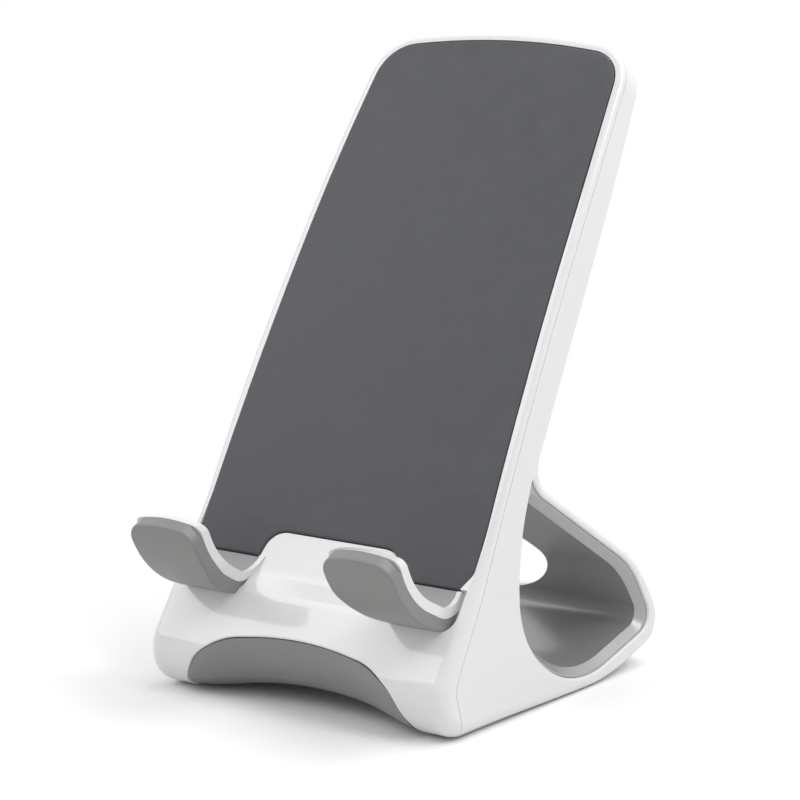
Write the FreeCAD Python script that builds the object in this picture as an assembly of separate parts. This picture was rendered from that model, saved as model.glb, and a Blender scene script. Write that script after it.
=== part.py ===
import FreeCAD, Part
import math
import os

Vector = FreeCAD.Vector

# Desk phone holder. X runs across the holder, +Y to the back, +Z up, in millimetres.
# The sections are first drawn with Y = 0 at the lower edge of the pad, and the finished
# pieces are then moved so that the origin is under the middle of the whole holder.

# Phone rest: the front surface of the pad, straight at the foot and then gently convex
rest_foot_height = 28.7
rest_straight = 14.0
rest_curve_length = 108.0
rest_lean_low = 27.6
rest_lean_high = 35.75
rest_lean_mean = 31.7
slab_depth = 10.0
slab_depth_at = 50.0
back_lean = 30.3

# Pad outline, seen square to the rest
pad_half_width_foot = 35.5
side_taper = 0.0369
side_bend_drop = 29.9
side_bend_radius = 850.0
side_taper_top = 0.072
pad_top_crown_radius = 161.0
pad_top_crown_half = 23.0
pad_corner_radius = 8.5
pad_foot_half_width = 33.3
pad_foot_corner_radius = 0.6
pad_foot_corner_rise = 3.5
pad_foot_blend_radius = 3.0
pad_thickness = 1.3
pad_edge_radius = 0.5
pad_gap = 0.25
tape_thickness = 0.2
tape_margin = 2.0

# Tongue between the hooks
tongue_height = 6.0
tongue_half_width = 18.3
tongue_flare = 16.0
tongue_radius = 5.5

# White shells
bezel_width = 2.0
bezel_drop = 0.3
wall = 2.0
plate_foot = 1.0
base_solid_from = 24.0
parting_depth = 1.5
parting_gap = 0.15
plate_depth = 3.3
shell_clearance = 0.15
edge_radius = 1.1
chin_edge_radius = 3.2
chin_edge_top = 41.0
chin_edge_foot = 11.0
chin_edge_reach = 45.0
rim_edge_radius = 0.5
arch_edge_radius = 0.3

# Chin and front foot, below the pad
chin_lean = 33.5
chin_merge_rise = 9.9
chin_foot_height = 10.3
chin_blend_radius = 45.0
chin_radius = 7.0
toe_setback = 1.8
toe_radius = 8.0
recess_half_width = 27.0
shelf_height = 25.9
shelf_lean = 48.0
shelf_radius = 6.0
shelf_brow_radius = 8.0
parting_knee_setback = 4.4
parting_knee_height = 11.0
parting_toe_setback = 8.8
parting_knee_radius = 5.0

# Base, tail and rear strut
foot_proud = 0.4
base_flat_end = 48.0
base_rise_radius = 60.0
tail_back = 72.4
tail_height = 6.5
tail_radius = 6.0
brow_back = 61.8
brow_height = 23.35
brow_radius = 31.0
strut_slope = 30.8
strut_root_radius = 5.5

# Side opening and the tunnel through it
strut_skin = 1.8
tail_skin = 2.7
base_skin = 3.4
opening_tail_radius = 4.0
opening_brow_radius = 22.0
opening_tip_slope = 62.0
opening_tip_rise = 0.76
opening_tip_radius = 10.0
opening_point_radius = 0.4
opening_top_radius = 2.2
opening_front = 15.05
opening_front_lean = 22.0
opening_front_height = 13.8
opening_front_straight = 0.5
opening_toe_height = 15.4
opening_toe_slope = 38.0
opening_toe_radius = 19.0
opening_floor_radius = 29.0

# Tunnel liner, in two halves that meet at the middle
liner_wall = 1.9
liner_gap = 0.1
liner_inset = 0.6
mouth_bevel = 1.5
bore_tail_radius = 5.0
bore_brow_radius = 30.0
cable_hole_half_width = 17.7
cable_hole_half_height = 14.2
cable_hole_height = 26.9
cable_hole_start = 24.3

# Hooks that hold the phone's lower edge
hook_corner_drop = 4.68
hook_corner_radius = 4.7
hook_floor_slope = 26.0
hook_floor_length = 14.7
hook_lip_slope = 66.0
hook_lip_length = 10.3
hook_lip_spare = 3.0
hook_bend_radius = 16.0
hook_skin = 2.1
hook_cover_gap = 0.05
hook_cover_root = (-8.5, 22.25)
hook_cover_heel_back = -3.1
hook_cover_heel_radius = 5.3
hook_cover_root_slope = 21.0
hook_cover_tip_slope = 68.0
hook_cover_radius = 24.0
hook_tip_depth = 5.0
hook_cover_edge_radius = 0.55
hook_root_inner = 19.6
hook_root_outer = 33.0
hook_lip_inner = 16.2
hook_lip_outer = 33.5
hook_cover_corner = 4.2
hook_ribbon_corner = 2.0
hook_lip_crown_radius = 28.0
hook_lip_crown_half = 4.4
hook_widening_height = 29.5
hook_narrow_height = 22.5
hook_narrow_radius = 6.0

# Slots in the front moulding through which the hooks come
slot_inner_top = 18.2
slot_inner_foot = 18.8
slot_outer = 35.35
slot_foot_height = 21.3
slot_corner_radius = 3.6
slot_depth = 1.0

# Soft pads let into the hooks, on which the phone's lower edge stands
hook_pad_thickness = 0.8
hook_pad_gap = 0.05
hook_pad_margin = 1.1
hook_pad_tip_margin = 2.2
hook_pad_corner = 4.2

# Belly panel in the arch between the feet
arch_crown_height = 15.1
arch_crown_radius = 90.0
arch_crown_slope = 8.0
arch_shoulder_half = 19.0
arch_shoulder_radius = 18.0
arch_haunch_half = 25.2
arch_haunch_height = 9.4
arch_haunch_radius = 9.0
arch_foot_half = 29.5
arch_foot_height = 2.0
arch_foot_radius = 3.0
arch_rounded_from = 3.0
belly_gap = 0.15
belly_wall = 1.8
belly_setback = 0.35
belly_clearance_crown = 3.1
belly_clearance_reach = 24.0
belly_roll_back = -1.5
belly_back = 11.5
belly_above = 22.0
belly_clearance_foot = 0.1
belly_end_half = 28.4
belly_half_sections = 4
arch_width_power = 2.5
arch_height_power = 1.9

# Rubber feet and screws
foot_radius = 2.4
foot_recess = 0.8
foot_across_front = 32.4
foot_back_front = 3.0
foot_across_rear = 29.0
foot_back_rear = 42.0
foot_gap = 0.1
screw_across = 22.0
screw_heights = (24.0, 100.0)
screw_core_radius = 1.1
screw_hole_radius = 1.4
screw_head_radius = 2.3
screw_head_height = 1.1
screw_length = 5.0
screw_seat = 1.2
screw_gap = 0.05
screw_socket_radius = 0.9
screw_socket_depth = 0.7
boss_radius = 3.4
boss_gap = 0.1

# Reach of the blocks that cut and trim, past what they cut
far = 150.0
spare = 5.0
layer_spare = 30.0
slab_top_spare = 12.0
outline_foot = -60.0
pocket_reach = 30.0
hook_back = 20.0
mouth_spare = 0.3

# Smallest lengths, and the corners that count as sharp, in degrees
near_zero = 1e-6
small = 1e-3
near_outline = 0.01
least_radius = 0.05
sharp_corner = 8.0

# Pull of the handles of a curve that stands for a quarter of a circle
quarter_pull = 0.5523


def direction(lean):
    """Unit step up the rest, in the (Y, Z) section, at a lean from the vertical."""
    angle = math.radians(lean)
    return math.sin(angle), math.cos(angle)


def step(point, along, distance):
    """Point moved a distance along a direction of the section."""
    return point[0] + along[0] * distance, point[1] + along[1] * distance


def crossing(point_a, along_a, point_b, along_b):
    """Where two lines of the section cross."""
    cross = along_a[0] * along_b[1] - along_a[1] * along_b[0]
    gap_y, gap_z = point_b[0] - point_a[0], point_b[1] - point_a[1]
    distance = (gap_y * along_b[1] - gap_z * along_b[0]) / cross
    return step(point_a, along_a, distance)


def unit(start, end):
    """Unit direction from one point to another."""
    length = math.hypot(end[0] - start[0], end[1] - start[1])
    return (end[0] - start[0]) / length, (end[1] - start[1]) / length


def left_of(along):
    """Unit direction square to another, to its left in the section."""
    return -along[1], along[0]


def inset(corners, distance):
    """Outline of (a, b, radius) corners, counter-clockwise, moved inwards by a distance."""
    count = len(corners)
    lines = []
    for index in range(count):
        start, end = corners[index], corners[(index + 1) % count]
        along = unit(start, end)
        lines.append(((start[0] - along[1] * distance, start[1] + along[0] * distance), along))
    moved = []
    for index in range(count):
        before, after = lines[index - 1], lines[index]
        turn = before[1][0] * after[1][1] - before[1][1] * after[1][0]
        place = crossing(before[0], before[1], after[0], after[1])
        radius = corners[index][2]
        if radius > 0:
            radius = max(radius - distance * math.copysign(1.0, turn), least_radius)
        moved.append((place[0], place[1], radius))
    return moved


def rounded_wire(corners, place):
    """Closed wire of straight runs and arcs; place() turns (a, b) into a 3D point."""
    count = len(corners)
    runs = []
    for index in range(count):
        before, here, after = corners[index - 1], corners[index], corners[(index + 1) % count]
        incoming, outgoing = unit(before, here), unit(here, after)
        cosine = max(-1.0, min(1.0, incoming[0] * outgoing[0] + incoming[1] * outgoing[1]))
        half_turn = math.acos(cosine) / 2
        if here[2] <= 0 or half_turn < near_zero:
            runs.append(((here[0], here[1]),))
            continue
        tangent = here[2] * math.tan(half_turn)
        start = step(here, incoming, -tangent)
        end = step(here, outgoing, tangent)
        towards = unit((0, 0), (outgoing[0] - incoming[0], outgoing[1] - incoming[1]))
        middle = step(here, towards, here[2] / math.cos(half_turn) - here[2])
        runs.append((start, middle, end))
    edges = []
    for index in range(count):
        run, following = runs[index], runs[(index + 1) % count]
        if len(run) == 3:
            edges.append(Part.Arc(*[place(*point) for point in run]).toShape())
        start, end = place(*run[-1]), place(*following[0])
        if start.distanceToPoint(end) > near_zero:
            edges.append(Part.LineSegment(start, end).toShape())
    return Part.Wire(edges)


def across(corners, left=-far, right=far):
    """Solid of a (Y, Z) outline carried across from left to right."""
    wire = rounded_wire(corners, lambda y, z: Vector(left, y, z))
    return Part.Face(wire).extrude(Vector(right - left, 0, 0))


def through_y(corners, front=-far, back=far):
    """Solid of an (X, Z) outline carried from front to back."""
    wire = rounded_wire(corners, lambda x, z: Vector(x, front, z))
    return Part.Face(wire).extrude(Vector(0, back - front, 0))


rest_foot = (0.0, rest_foot_height)
low_up, high_up, mean_up = direction(rest_lean_low), direction(rest_lean_high), direction(rest_lean_mean)
rest_turn = math.radians(rest_lean_high - rest_lean_low)
rest_radius = rest_curve_length / rest_turn
rest_tangent = rest_radius * math.tan(rest_turn / 2)
rest_bend = step(rest_foot, low_up, rest_straight + rest_tangent)
rest_top = step(rest_bend, high_up, rest_tangent)


def rest_line(depth, below, above):
    """Corners of the line at a depth behind the pad's surface, from below its foot to above its top."""
    low_in, high_in = (low_up[1], -low_up[0]), (high_up[1], -high_up[0])
    start = step(step(rest_foot, low_up, -below), low_in, depth)
    end = step(step(rest_top, high_up, above), high_in, depth)
    bend = crossing(start, low_up, end, high_up)
    return [(start[0], start[1], 0), (bend[0], bend[1], rest_radius - depth), (end[0], end[1], 0)]


def band(front, back, below, above):
    """Layer of the slab between two depths."""
    ahead = rest_line(front, below, above)
    behind = rest_line(back, below, above)
    return across(behind + ahead[::-1])


def rest_place(x, v):
    """Point at x across and v up the plane of the outlines."""
    return Vector(x, rest_foot[0] + mean_up[0] * v, rest_foot[1] + mean_up[1] * v)


def square_to_rest(corners, behind=far, ahead=far):
    """Solid of an outline in the plane of the rest, carried square to it both ways."""
    inwards = Vector(0, mean_up[1], -mean_up[0])
    face = Part.Face(rounded_wire(corners, rest_place))
    face.translate(inwards * -ahead)
    return face.extrude(inwards * (ahead + behind))


def side_line(v):
    """Half width of the pad at v up the rest."""
    return pad_half_width_foot - side_taper * v


def rest_outline(bottom):
    """Corners of the pad's outline with a plain lower edge at v = bottom."""
    crown_slope = math.tan(math.asin(pad_top_crown_half / pad_top_crown_radius))
    top_v = (rest_top[0] - rest_foot[0]) * mean_up[0] + (rest_top[1] - rest_foot[1]) * mean_up[1]
    bend_v = top_v - side_bend_drop
    apex = top_v + pad_top_crown_radius * (math.sqrt(1 + crown_slope ** 2) - 1)
    bend = (side_line(bend_v), bend_v)
    corner = crossing(bend, (-side_taper_top, 1.0), (0.0, apex), (1.0, -crown_slope))
    return [(-side_line(bottom), bottom, 0), (side_line(bottom), bottom, 0),
            (bend[0], bend[1], side_bend_radius), (corner[0], corner[1], pad_corner_radius),
            (0.0, apex, pad_top_crown_radius), (-corner[0], corner[1], pad_corner_radius),
            (-bend[0], bend[1], side_bend_radius)]


def pad_outline():
    """Corners of the pad with the notch for the tongue in its lower edge."""
    flare = math.tan(math.radians(tongue_flare))
    notch_top = tongue_half_width - flare * tongue_height
    right = [(notch_top, tongue_height, tongue_radius), (tongue_half_width, 0.0, 0.0),
             (pad_foot_half_width, 0.0, pad_foot_corner_radius),
             (side_line(pad_foot_corner_rise), pad_foot_corner_rise, pad_foot_blend_radius)]
    left = [(-x, v, radius) for x, v, radius in right[::-1]]
    return left[1:] + right + rest_outline(0.0)[2:] + left[:1]


def body_corners(centre):
    """Side outline of the whole holder, at its middle or at its edges, without the opening."""
    strut_down = (math.cos(math.radians(strut_slope)), -math.sin(math.radians(strut_slope)))
    slab_at = step(rest_foot, direction((rest_lean_low + back_lean) / 2), slab_depth_at)
    back_up = direction(back_lean)
    back_point = step(slab_at, (back_up[1], -back_up[0]), slab_depth)
    root = crossing(back_point, back_up, (brow_back, brow_height), strut_down)
    front = rest_line(bezel_drop, 0.0, slab_top_spare)
    top = crossing(back_point, back_up, front[2][:2], (high_up[1], -high_up[0]))
    chin_up = direction(chin_lean)
    merge = crossing(front[0][:2], low_up, (0.0, rest_foot_height + chin_merge_rise), (1.0, 0.0))
    chin = crossing(merge, chin_up, (0.0, chin_foot_height), (1.0, 0.0))
    lower = [(chin[0] + toe_setback, foot_proud, toe_radius),
             (base_flat_end, foot_proud, base_rise_radius),
             (tail_back, tail_height, tail_radius),
             (brow_back, brow_height, brow_radius),
             (root[0], root[1], strut_root_radius)]
    upper = [(top[0], top[1], 0), front[2], front[1]]
    if not centre:
        return lower + upper + [(merge[0], merge[1], chin_blend_radius), (chin[0], chin[1], chin_radius)]
    shelf = crossing(front[0][:2], low_up, (0.0, shelf_height), (1.0, 0.0))
    shelf_brow = crossing(shelf, direction(shelf_lean), merge, chin_up)
    return lower + upper + [(shelf[0], shelf[1], shelf_radius),
                            (shelf_brow[0], shelf_brow[1], shelf_brow_radius),
                            (chin[0], chin[1], chin_radius)]


def opening_corners(tipped):
    """Side outline of the opening, with its narrow upper tip or rounded off under it."""
    outer = body_corners(False)
    base_rise, tail, brow, root = outer[1], outer[2], outer[3], outer[4]
    strut = inset([brow, root, base_rise], strut_skin)
    tail_line = inset([tail, brow, base_rise], tail_skin)
    base = inset([base_rise, tail, brow], base_skin)
    strut_up, tail_up, under_back = unit(brow, root), unit(tail, brow), unit(base_rise, tail)
    brow_inner = crossing(strut[0], strut_up, tail_line[0], tail_up)
    tail_inner = crossing(base[0], under_back, tail_line[0], tail_up)
    toe = (opening_front, opening_toe_height)
    slope = math.radians(opening_toe_slope)
    floor = crossing(toe, (math.cos(slope), -math.sin(slope)), base[0], under_back)
    tip_height = root[1] + opening_tip_rise
    bend = (opening_front, tip_height - opening_front_height)
    toe_tangent = opening_toe_radius * math.tan(math.radians(90 - opening_toe_slope) / 2)
    front_tangent = bend[1] - toe[1] - toe_tangent - opening_front_straight
    front_radius = front_tangent / math.tan(math.radians(opening_front_lean) / 2)
    front_up = direction(opening_front_lean)
    tip = crossing(bend, front_up, (0.0, tip_height), (1.0, 0.0))
    tip_slope = math.radians(opening_tip_slope)
    under_tip = crossing(tip, (math.cos(tip_slope), -math.sin(tip_slope)), strut[0], strut_up)
    top = crossing(bend, front_up, strut[0], strut_up)
    tail_radius, brow_radius = opening_tail_radius, opening_brow_radius
    upper = [(under_tip[0], under_tip[1], opening_tip_radius),
             (tip[0], tip[1], opening_point_radius)]
    if not tipped:
        tail_radius, brow_radius = bore_tail_radius, bore_brow_radius
        upper = [(top[0], top[1], opening_top_radius)]
    lower = [(toe[0], toe[1], opening_toe_radius),
             (floor[0], floor[1], opening_floor_radius),
             (tail_inner[0], tail_inner[1], tail_radius),
             (brow_inner[0], brow_inner[1], brow_radius)]
    return lower + upper + [(bend[0], bend[1], front_radius)]


def body(depth):
    """The holder's outer form, or the same form drawn in by a depth, without the opening."""
    edges = across(inset(body_corners(False), depth))
    middle = across(inset(body_corners(True), depth), -recess_half_width, recess_half_width)
    pocket_top = rest_foot_height + pocket_reach
    pocket = across([(-far, 0, 0), (0, 0, 0), (pocket_reach, pocket_top, 0), (-far, pocket_top, 0)],
                    -recess_half_width, recess_half_width)
    form = edges.cut(pocket).fuse(middle.common(pocket)).removeSplitter()
    return form.common(side_block(depth))


def front_zone(gap):
    """Everything ahead of the parting line, which a gap moves back."""
    outer = body_corners(False)
    chin = outer[-1]
    line = rest_line(bezel_drop + parting_depth + gap, 0.0, layer_spare)
    knee = (chin[0] + parting_knee_setback + gap, parting_knee_height)
    toe = (chin[0] + parting_toe_setback + gap, -spare)
    return across([(-far, toe[1], 0), (toe[0], toe[1], 0), (knee[0], knee[1], parting_knee_radius),
                   line[0], line[1], line[2], (-far, line[2][1], 0)])


def opening_block(distance):
    """The side opening carried right across, drawn in by a distance."""
    return across(inset(opening_corners(True), distance))


def hook_line(offset):
    """Corners of the hook's line, from behind the pad's foot to the tip of the lip."""
    corner = step(rest_foot, low_up, -hook_corner_drop)
    floor = math.radians(hook_floor_slope)
    lip = math.radians(hook_lip_slope)
    floor_out = (-math.cos(floor), math.sin(floor))
    lip_out = (-math.cos(lip), math.sin(lip))
    down = (-low_up[0], -low_up[1])
    bend = step(corner, floor_out, hook_floor_length)
    tip = step(bend, lip_out, hook_lip_length + hook_lip_spare)
    start = step(rest_foot, left_of(down), offset)
    root = crossing(start, down, step(corner, left_of(floor_out), offset), floor_out)
    knee = crossing(root, floor_out, step(bend, left_of(lip_out), offset), lip_out)
    end = crossing(knee, lip_out, tip, left_of(lip_out))
    return [(start[0], start[1], 0), (root[0], root[1], hook_corner_radius + offset),
            (knee[0], knee[1], hook_bend_radius + offset), (end[0], end[1], 0)]


def cover_line():
    """Corners of the outer line of a hook's cover, from inside the chin to the tip."""
    tip = hook_line(hook_tip_depth)[-1]
    root_slope, tip_slope = math.radians(hook_cover_root_slope), math.radians(hook_cover_tip_slope)
    root_out = (-math.cos(root_slope), math.sin(root_slope))
    tip_out = (-math.cos(tip_slope), math.sin(tip_slope))
    heel = crossing(hook_cover_root, root_out, (hook_cover_heel_back, 0.0), (0.0, 1.0))
    start = step(heel, low_up, hook_floor_length)
    bend = crossing(hook_cover_root, root_out, tip[:2], tip_out)
    return [(start[0], start[1], 0), (heel[0], heel[1], hook_cover_heel_radius),
            (bend[0], bend[1], hook_cover_radius), (tip[0], tip[1], 0)]


def lip_offcuts(side):
    """Blocks that trim one lip to its crowned end: ahead of the lip's outer line, and behind it."""
    knee, tip = hook_line(hook_skin)[2:]
    lip_out = unit(knee, tip)
    top = math.dist(knee[:2], tip[:2]) - hook_lip_spare
    middle = (hook_lip_inner + hook_lip_outer) / 2
    half = (hook_lip_outer - hook_lip_inner) / 2
    slope = math.tan(math.asin(hook_lip_crown_half / hook_lip_crown_radius))
    apex = top + hook_lip_crown_radius * (math.sqrt(1 + slope ** 2) - 1)
    shoulder = apex - slope * half
    foot = shoulder - 2 * hook_cover_corner

    def place(x, along):
        return Vector(side * x, *step(knee, lip_out, along))

    def offcut(corner, reach):
        around = [(middle - 2 * half, foot, 0), (middle - half, foot, 0),
                  (middle - half, shoulder, corner), (middle, apex, hook_lip_crown_radius),
                  (middle + half, shoulder, corner), (middle + half, foot, 0),
                  (middle + 2 * half, foot, 0), (middle + 2 * half, apex + half, 0),
                  (middle - 2 * half, apex + half, 0)]
        return Part.Face(rounded_wire(around, place)).extrude(reach)

    outwards = Vector(0, -lip_out[1], lip_out[0]) * 2 * half
    return offcut(hook_cover_corner, outwards), offcut(hook_ribbon_corner, Vector(0, 2 * half, 0))


def hook_band(side, corners):
    """Part of a (Y, Z) outline between the two ends of one hook."""
    right = [(hook_root_inner, 0.0, 0), (hook_root_outer, 0.0, 0),
             (hook_lip_outer, hook_widening_height, 0), (hook_lip_outer, far, 0),
             (hook_lip_inner, far, 0),
             (hook_lip_inner, hook_widening_height, hook_narrow_radius),
             (hook_root_inner, hook_narrow_height, hook_narrow_radius)]
    outline = [(side * x, z, radius) for x, z, radius in right]
    hook = across(corners).common(through_y(outline if side > 0 else outline[::-1], -far, hook_back))
    for offcut in lip_offcuts(side):
        hook = hook.cut(offcut)
    return hook


def hook_pad(side, grown):
    """The soft pad let into the inner face of one hook, grown by a gap."""
    thickness = hook_pad_thickness + grown
    front = -spare if grown else 0.0
    layer = across(hook_line(thickness) + hook_line(front)[::-1])
    tip = hook_line(0.0)[-1]
    top = tip[1] - (hook_lip_spare + hook_pad_tip_margin) * math.sin(math.radians(hook_lip_slope))
    right = [(hook_root_inner, -spare, 0), (hook_root_outer, -spare, 0),
             (hook_lip_outer, hook_widening_height, 0),
             (hook_lip_outer, top + hook_pad_margin, hook_pad_corner),
             (hook_lip_inner, top + hook_pad_margin, hook_pad_corner),
             (hook_lip_inner, hook_widening_height, hook_narrow_radius),
             (hook_root_inner, hook_narrow_height, hook_narrow_radius)]
    outline = [(side * x, z, radius) for x, z, radius in inset(right, hook_pad_margin - grown)]
    below = grown - pad_gap - hook_pad_gap
    under_pad = square_to_rest([(-far, -far, 0), (far, -far, 0), (far, below, 0), (-far, below, 0)])
    pad = layer.common(through_y(outline if side > 0 else outline[::-1], -far, hook_back))
    return pad.common(under_pad)


def slot_block(side, grown):
    """The slot that one hook comes out of, grown by a distance."""
    right = [(slot_inner_foot, slot_foot_height, slot_corner_radius),
             (slot_outer, slot_foot_height, slot_corner_radius),
             (slot_outer, rest_foot_height + slot_depth, 0),
             (slot_inner_top, rest_foot_height + slot_depth, 0)]
    outline = inset(right, -grown)
    outline = [(side * x, z, radius) for x, z, radius in outline]
    under_pad = square_to_rest([(-far, -far, 0), (far, -far, 0), (far, grown, 0), (-far, grown, 0)])
    cut = through_y(outline if side > 0 else outline[::-1], -far, far)
    return cut.common(across(slot_back(slot_depth + grown))).common(under_pad)


def slot_back(depth):
    """Corners of everything ahead of a plane at a depth behind the foot of the rest."""
    line = rest_line(depth, far, 0.0)
    return [(-far, line[0][1], 0), line[0], (line[1][0], line[1][1], 0), (-far, line[1][1], 0)]


def hook_cover(side, form):
    """Grey cover under one hook."""
    inner = hook_line(hook_skin + hook_cover_gap)
    above_wall = step(inner[0], low_up, hook_floor_length)
    above_tip = step(inner[3], unit(inner[2], inner[3]), hook_floor_length)
    over = across([(above_tip[0], above_tip[1], 0), inner[2], inner[1], (above_wall[0], above_wall[1], 0)])
    outline = rounded_wire(cover_line() + [(-far, far, 0)], lambda y, z: Vector(0, y, z))
    cover = round_along(hook_band(side, cover_line()), hook_cover_edge_radius, outline, side_view)
    return cover.cut(over).cut(form)


def arch_corners(gap):
    """Front outline of the arch between the feet, drawn in by a gap."""
    slope = math.tan(math.radians(arch_crown_slope))
    apex = arch_crown_height + arch_crown_radius * (math.sqrt(1 + slope ** 2) - 1)
    right = [(arch_foot_half, -spare, 0), (arch_foot_half, arch_foot_height, arch_foot_radius),
             (arch_haunch_half, arch_haunch_height, arch_haunch_radius),
             (arch_shoulder_half, apex - slope * arch_shoulder_half, arch_shoulder_radius)]
    left = [(-x, z, radius) for x, z, radius in right[::-1]]
    return inset(right + [(0.0, apex, arch_crown_radius)] + left, gap)


def arch_block():
    """The arch between the feet, cut through the front of the shells."""
    return through_y(arch_corners(0.0), -far, belly_back)


def pad_block(front, back, grown):
    """The pad's outline between two depths, grown by a distance."""
    return square_to_rest(inset(pad_outline(), -grown)).common(band(front, back, layer_spare, layer_spare))


def backrest_pad():
    """The soft pad with its front edge rounded."""
    front_line = rest_line(0.0, layer_spare, layer_spare)
    surface = rounded_wire(front_line + [(far, 0, 0)], lambda y, z: Vector(0, y, z))
    return round_along(pad_block(0.0, pad_thickness, 0.0), pad_edge_radius, surface, side_view)


def side_block(depth):
    """Everything between the side faces and below the top face, drawn in by a depth."""
    return square_to_rest(inset(rest_outline(outline_foot), depth - bezel_width))


def ends(edge):
    """The two end points of an edge."""
    return edge.valueAt(edge.FirstParameter), edge.valueAt(edge.LastParameter)


def meets_side(edge, shape):
    """Whether an edge lies between an outer side face and a face that runs straight across."""
    if all(abs(abs(point.x) - recess_half_width) < small for point in ends(edge)):
        return False
    slanted = []
    for face in shape.ancestorsOfType(edge, Part.Face):
        slant = 0.0
        for corner in face.Vertexes:
            u, v = face.Surface.parameter(corner.Point)
            slant = max(slant, abs(face.normalAt(u, v).x))
        slanted.append(slant > small)
    return len(slanted) == 2 and slanted[0] != slanted[1]


def outer_radius(point):
    """Radius of the outer edge at a point: small on the slab, larger around the chin."""
    down = (chin_edge_top - point.z) / (chin_edge_top - chin_edge_foot)
    ahead = (chin_edge_reach - point.y) / chin_edge_reach
    share = max(0.0, min(1.0, down)) * max(0.0, min(1.0, ahead))
    return edge_radius + (chin_edge_radius - edge_radius) * share


def in_order(edges):
    """Chain of (index, edge) pairs as (index, start, end), each start at the last end."""
    index, first = edges.pop(0)
    start, end = ends(first)
    chain = [(index, start, end)]
    while edges:
        for place, (index, edge) in enumerate(edges):
            start, finish = ends(edge)
            if finish.distanceToPoint(end) < small:
                start, finish = finish, start
            if start.distanceToPoint(end) < small:
                chain.append((index, start, finish))
                end = finish
                edges.pop(place)
                break
        else:
            raise ValueError("the edges to round don't form one chain")
    return chain


def soften(shape, radius_at, wanted):
    """Shape with its chain of wanted edges rounded to a radius that follows their length."""
    document = FreeCAD.newDocument()
    base = document.addObject("Part::Feature")
    base.Shape = shape
    rounded = document.addObject("Part::Fillet")
    rounded.Base = base
    chain = in_order([(index, edge) for index, edge in enumerate(shape.Edges, 1) if wanted(edge)])
    rounded.Edges = [(index, radius_at(start), radius_at(end)) for index, start, end in chain]
    document.recompute()
    result = rounded.Shape.copy()
    FreeCAD.closeDocument(document.Name)
    return result


def side_view(point):
    """A point as it is seen from the side."""
    return Vector(0, point.y, point.z)


def front_view(point):
    """A point as it is seen from the front."""
    return Vector(point.x, 0, point.z)


def follows(edge, outline, view):
    """Whether an edge lies on an outline in one view."""
    length = edge.LastParameter - edge.FirstParameter
    for part_of_it in (0.1, 0.5, 0.9):
        point = edge.valueAt(edge.FirstParameter + length * part_of_it)
        if outline.distToShape(Part.Vertex(view(point)))[0] > near_outline:
            return False
    return True


def is_sharp(edge, shape):
    """Whether the two faces at an edge meet at a corner."""
    middle = edge.valueAt((edge.FirstParameter + edge.LastParameter) / 2)
    normals = []
    for face in shape.ancestorsOfType(edge, Part.Face):
        normals.append(face.normalAt(*face.Surface.parameter(middle)))
    return len(normals) == 2 and normals[0].getAngle(normals[1]) > math.radians(sharp_corner)


def round_along(shape, radius, outline, view, wanted=lambda point: True):
    """Shape with the corners that follow an outline rounded."""
    edges = []
    for edge in shape.Edges:
        middle = edge.valueAt((edge.FirstParameter + edge.LastParameter) / 2)
        if wanted(middle) and follows(edge, outline, view) and is_sharp(edge, shape):
            edges.append(edge)
    return shape.makeFillet(radius, edges)


def outer_form():
    """The whole holder as one solid with its outer edges rounded and its openings cut."""
    block = body(0.0)
    form = soften(block, outer_radius, lambda edge: meets_side(edge, block)).cut(opening_block(0.0))
    opening = rounded_wire(opening_corners(True), lambda y, z: Vector(0, y, z))
    form = round_along(form, rim_edge_radius, opening, side_view)
    form = form.cut(arch_block())
    arch = rounded_wire(arch_corners(0.0), lambda x, z: Vector(x, 0, z))
    form = round_along(form, arch_edge_radius, arch, front_view,
                       lambda point: point.y < belly_roll_back and point.z > arch_rounded_from)
    for side in (-1, 1):
        form = form.cut(slot_block(side, 0.0))
    return form


def cavity():
    """Hollow space inside the walls: the slab and the wedge ahead of the tunnel."""
    around_tunnel = opening_block(-wall)
    under_tunnel = across([(base_solid_from, -far, 0), (far, -far, 0), (far, strut_root_height(), 0),
                           (base_solid_from, strut_root_height(), 0)])
    space = body(wall).cut(around_tunnel).cut(under_tunnel)
    for side in (-1, 1):
        space = space.cut(slot_block(side, wall))
    return space


def strut_root_height():
    """Height at which the strut leaves the slab."""
    return body_corners(False)[4][1]


def cylinder(point, along, radius, length):
    """Cylinder standing on a point."""
    return Part.makeCylinder(radius, length, point, along)


def screws():
    """Point on the pad's surface over each screw."""
    for height in screw_heights:
        for sign in (-1, 1):
            foot = rest_place(sign * screw_across, height)
            inwards = Vector(0, mean_up[1], -mean_up[0])
            line = Part.makeLine(foot - inwards * slab_depth, foot + inwards * slab_depth)
            touched = line.common(band(0.0, slab_depth, layer_spare, layer_spare))
            yield min(touched.Vertexes, key=lambda corner: corner.Point.y).Point, inwards


def feet():
    """Name and place of each rubber foot."""
    for where, across_by, back_by in (("front", foot_across_front, foot_back_front),
                                      ("rear", foot_across_rear, foot_back_rear)):
        for side, sign in (("left", -1), ("right", 1)):
            yield "foot_" + where + "_" + side, Vector(sign * across_by, back_by, 0)


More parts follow.
